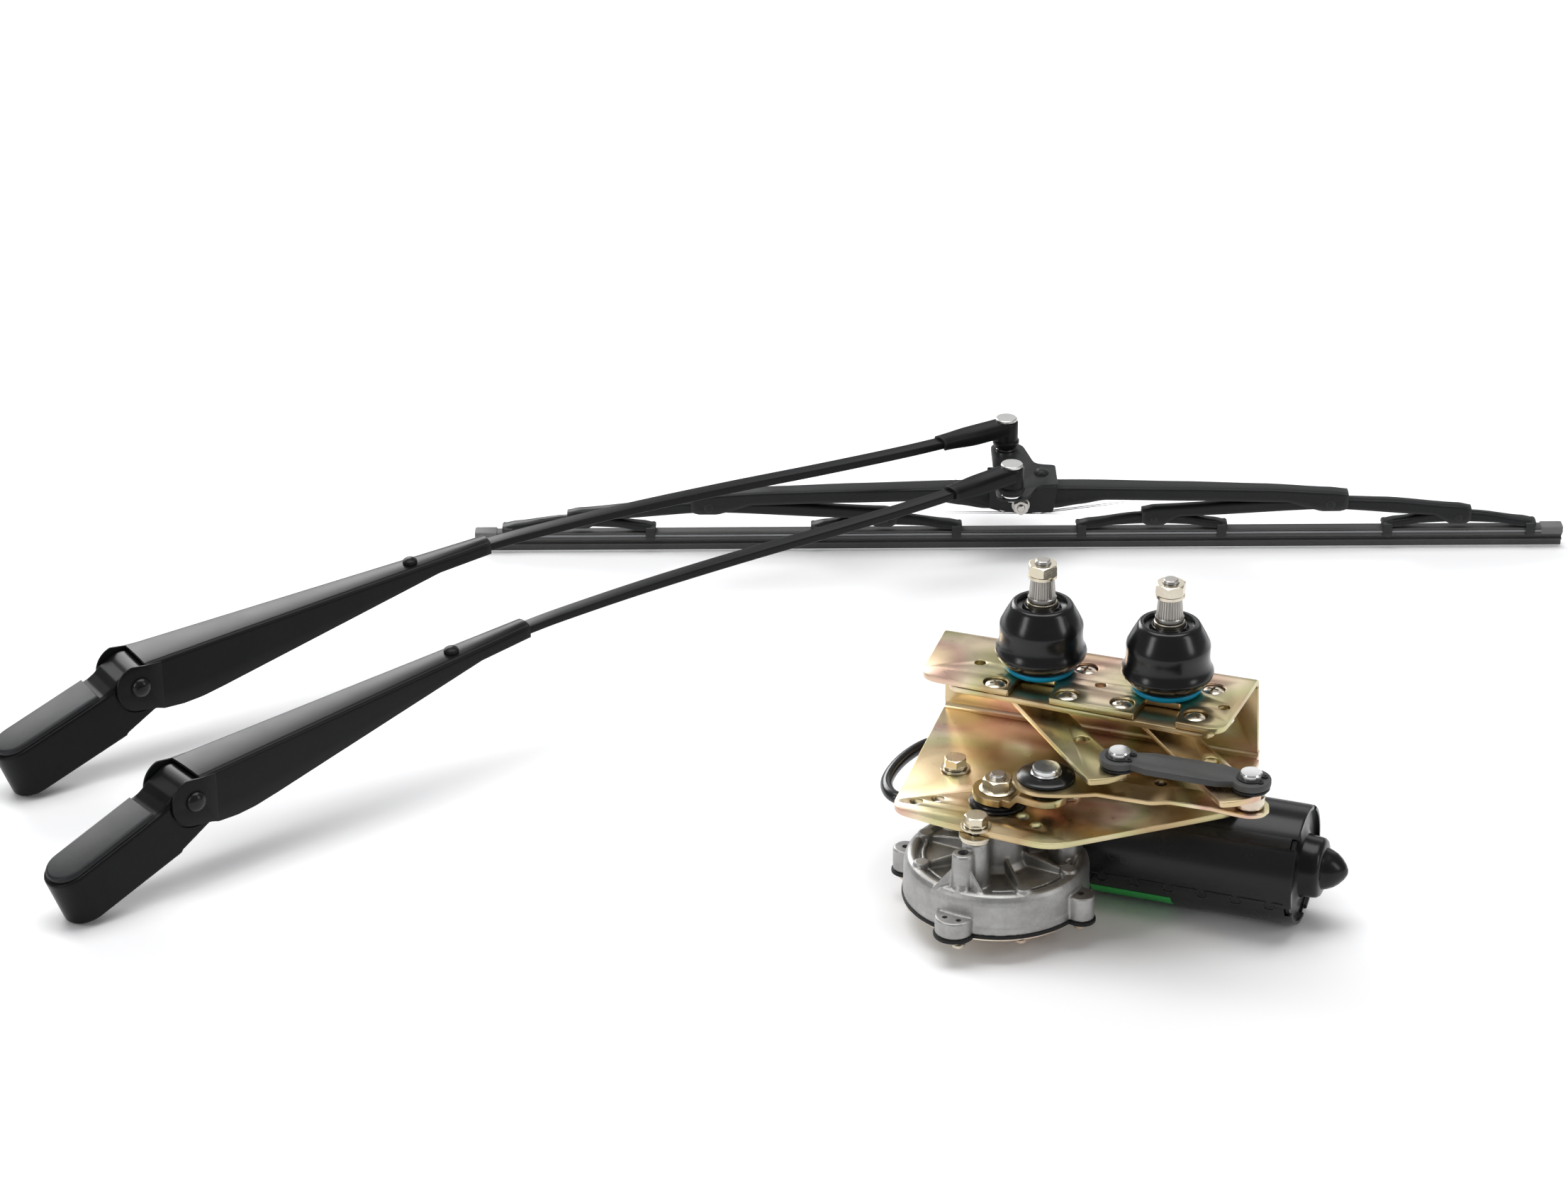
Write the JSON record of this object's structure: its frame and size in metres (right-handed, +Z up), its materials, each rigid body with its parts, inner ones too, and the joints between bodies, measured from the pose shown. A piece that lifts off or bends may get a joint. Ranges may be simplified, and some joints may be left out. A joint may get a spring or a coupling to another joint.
{
  "type": "windscreen wiper assembly",
  "caption": "Pantograph wiper kit: two long arms pinned to a bridged blade, with the motor, gearbox, bracket, levers and links that swing them.",
  "frame": {"origin": "centre of the underside of the gearbox cover, on the surface the kit lies on", "axes": "+X along the wiper blade, +Y from the drive unit toward the blade, +Z up"},
  "size_m": [1.0949, 0.6598, 0.2121],
  "materials": {
    "yellow_zinc": "yellow passivated zinc plate with a faint rainbow sheen",
    "pale_zinc": "pale passivated zinc plate",
    "bright_steel": "bright turned steel",
    "arm_paint": "satin black powder coat",
    "head_plastic": "fine-grained black plastic",
    "blade_paint": "matte charcoal paint",
    "black_rubber": "moulded black rubber",
    "lead_jacket": "smooth black jacket",
    "connector_plastic": "moulded black plastic",
    "wiper_rubber": "brownish black wiper rubber",
    "cast_alloy": "die-cast aluminium",
    "can_paint": "semi-gloss black paint",
    "link_paint": "dark grey coating",
    "magnet": "ferrite",
    "gear_plastic": "natural acetal",
    "winding": "enamelled copper windings"
  },
  "bodies": {
    "base": {"gearbox_housing": "cast_alloy", "gearbox_gasket": "black_rubber", "gearbox_cover": "pale_zinc", "motor_can": "can_paint", "field_magnet": "magnet", "brush_card": "connector_plastic", "bracket": "yellow_zinc", "carrier_plate": "yellow_zinc", "mount_bolt_1": "pale_zinc", "mount_bolt_2": "pale_zinc", "mount_bolt_3": "pale_zinc", "output_seal": "black_rubber", "spindle_bush_left": "pale_zinc", "spindle_bush_right": "pale_zinc", "boot_left": "black_rubber", "boot_right": "black_rubber", "lead": "lead_jacket", "lead_gland": "black_rubber", "lead_connector": "connector_plastic", "blade_carrier": "blade_paint", "tip_pin_rear": "bright_steel", "tip_pin_front": "bright_steel", "pivot_bolt": "bright_steel"},
    "armature": {"worm_shaft": "bright_steel", "armature": "winding"},
    "crank": {"output_shaft": "bright_steel", "worm_wheel": "gear_plastic", "crank_arm": "yellow_zinc", "crank_nut": "pale_zinc", "crank_pin": "bright_steel"},
    "spindle_left": {"spindle_left": "bright_steel", "spindle_nut_left": "pale_zinc", "lever_left": "yellow_zinc", "link_pin_left": "bright_steel"},
    "spindle_right": {"spindle_right": "bright_steel", "spindle_nut_right": "pale_zinc", "lever_right": "yellow_zinc", "link_pin_right": "bright_steel"},
    "sync_link": {"sync_link": "link_paint"},
    "drive_link": {"drive_link": "yellow_zinc"},
    "arm_rear": {"arm_channel_rear": "arm_paint", "arm_rod_rear": "arm_paint", "hinge_pin_rear": "arm_paint", "arm_spring_rear": "bright_steel"},
    "arm_front": {"arm_channel_front": "arm_paint", "arm_rod_front": "arm_paint", "hinge_pin_front": "arm_paint", "arm_spring_front": "bright_steel"},
    "head_rear": {"head_casting_rear": "arm_paint", "head_cover_rear": "head_plastic"},
    "head_front": {"head_casting_front": "arm_paint", "head_cover_front": "head_plastic"},
    "blade": {"main_bridge": "blade_paint", "wiper_rubber": "wiper_rubber"},
    "secondary_left": {"secondary_bridge_left": "blade_paint"},
    "secondary_right": {"secondary_bridge_right": "blade_paint"},
    "yoke_left_inner": {"yoke_left_inner": "blade_paint"},
    "yoke_left_outer": {"yoke_left_outer": "blade_paint"},
    "yoke_right_inner": {"yoke_right_inner": "blade_paint"},
    "yoke_right_outer": {"yoke_right_outer": "blade_paint"}
  },
  "joints": [
    {"name": "crank_spin", "type": "hinge", "parent": "base", "child": "crank", "pos_m": [0, 0, 0.09], "axis": [0, 0, 1], "continuous": true},
    {"name": "armature_spin", "type": "hinge", "parent": "base", "child": "armature", "pos_m": [0.02161, 0.05811, 0.038], "axis": [0.9373, -0.3486, 0], "continuous": true},
    {"name": "spindle_left_swing", "type": "hinge", "parent": "base", "child": "spindle_left", "pos_m": [0.02941, 0.07335, 0.119], "axis": [0, 0, 1], "range_deg": [-17, 17]},
    {"name": "spindle_right_swing", "type": "hinge", "parent": "base", "child": "spindle_right", "pos_m": [0.10627, 0.04476, 0.119], "axis": [0, 0, 1], "range_deg": [-17, 17]},
    {"name": "sync_link_pivot", "type": "hinge", "parent": "spindle_left", "child": "sync_link", "pos_m": [0.07182, -0.02778, 0.1263], "axis": [0, 0, 1], "range_deg": [-17, 17]},
    {"name": "drive_link_pivot", "type": "hinge", "parent": "spindle_right", "child": "drive_link", "pos_m": [0.14868, -0.05636, 0.1051], "axis": [0, 0, 1], "range_deg": [-17, 17]},
    {"name": "arm_front_swing", "type": "hinge", "parent": "base", "child": "arm_front", "pos_m": [0.034, 0.4975, 0.075], "axis": [0, 0, 1], "range_deg": [-17, 17]},
    {"name": "arm_rear_swing", "type": "hinge", "parent": "base", "child": "arm_rear", "pos_m": [0.034, 0.5795, 0.075], "axis": [0, 0, 1], "range_deg": [-17, 17]},
    {"name": "head_front_lift", "type": "hinge", "parent": "arm_front", "child": "head_front", "pos_m": [-0.5121, 0.05369, 0.0628], "axis": [-0.6307, 0.776, 0], "range_deg": [0, 70], "stiffness_Nm_per_rad": 2, "springref_deg": -68.75},
    {"name": "head_rear_lift", "type": "hinge", "parent": "arm_rear", "child": "head_rear", "pos_m": [-0.56536, 0.21077, 0.0628], "axis": [-0.524, 0.8517, 0], "range_deg": [0, 70], "stiffness_Nm_per_rad": 2, "springref_deg": -68.75},
    {"name": "blade_rock", "type": "hinge", "parent": "base", "child": "blade", "pos_m": [0.042, 0.533, 0.043], "axis": [0, 1, 0], "range_deg": [-6, 6]},
    {"name": "secondary_left_rock", "type": "hinge", "parent": "blade", "child": "secondary_left", "pos_m": [-0.186, 0.533, 0.036], "axis": [0, 1, 0], "range_deg": [-3, 3], "deforming": ["wiper_rubber"]},
    {"name": "yoke_left_inner_rock", "type": "hinge", "parent": "secondary_left", "child": "yoke_left_inner", "pos_m": [-0.057, 0.533, 0.024], "axis": [0, 1, 0], "range_deg": [-3, 3]},
    {"name": "yoke_left_outer_rock", "type": "hinge", "parent": "secondary_left", "child": "yoke_left_outer", "pos_m": [-0.281, 0.533, 0.024], "axis": [0, 1, 0], "range_deg": [-3, 3]},
    {"name": "secondary_right_rock", "type": "hinge", "parent": "blade", "child": "secondary_right", "pos_m": [0.27, 0.533, 0.036], "axis": [0, 1, 0], "range_deg": [-3, 3]},
    {"name": "yoke_right_inner_rock", "type": "hinge", "parent": "secondary_right", "child": "yoke_right_inner", "pos_m": [0.141, 0.533, 0.024], "axis": [0, 1, 0], "range_deg": [-3, 3]},
    {"name": "yoke_right_outer_rock", "type": "hinge", "parent": "secondary_right", "child": "yoke_right_outer", "pos_m": [0.365, 0.533, 0.024], "axis": [0, 1, 0], "range_deg": [-3, 3]}
  ],
  "couplings": [
    {"joint": "armature_spin", "follows": "crank_spin", "ratio": 45},
    {"joint": "spindle_right_swing", "follows": "spindle_left_swing", "ratio": 1},
    {"joint": "sync_link_pivot", "follows": "spindle_left_swing", "ratio": -1},
    {"joint": "drive_link_pivot", "follows": "spindle_left_swing", "ratio": -1},
    {"joint": "arm_rear_swing", "follows": "arm_front_swing", "ratio": 1}
  ]
}
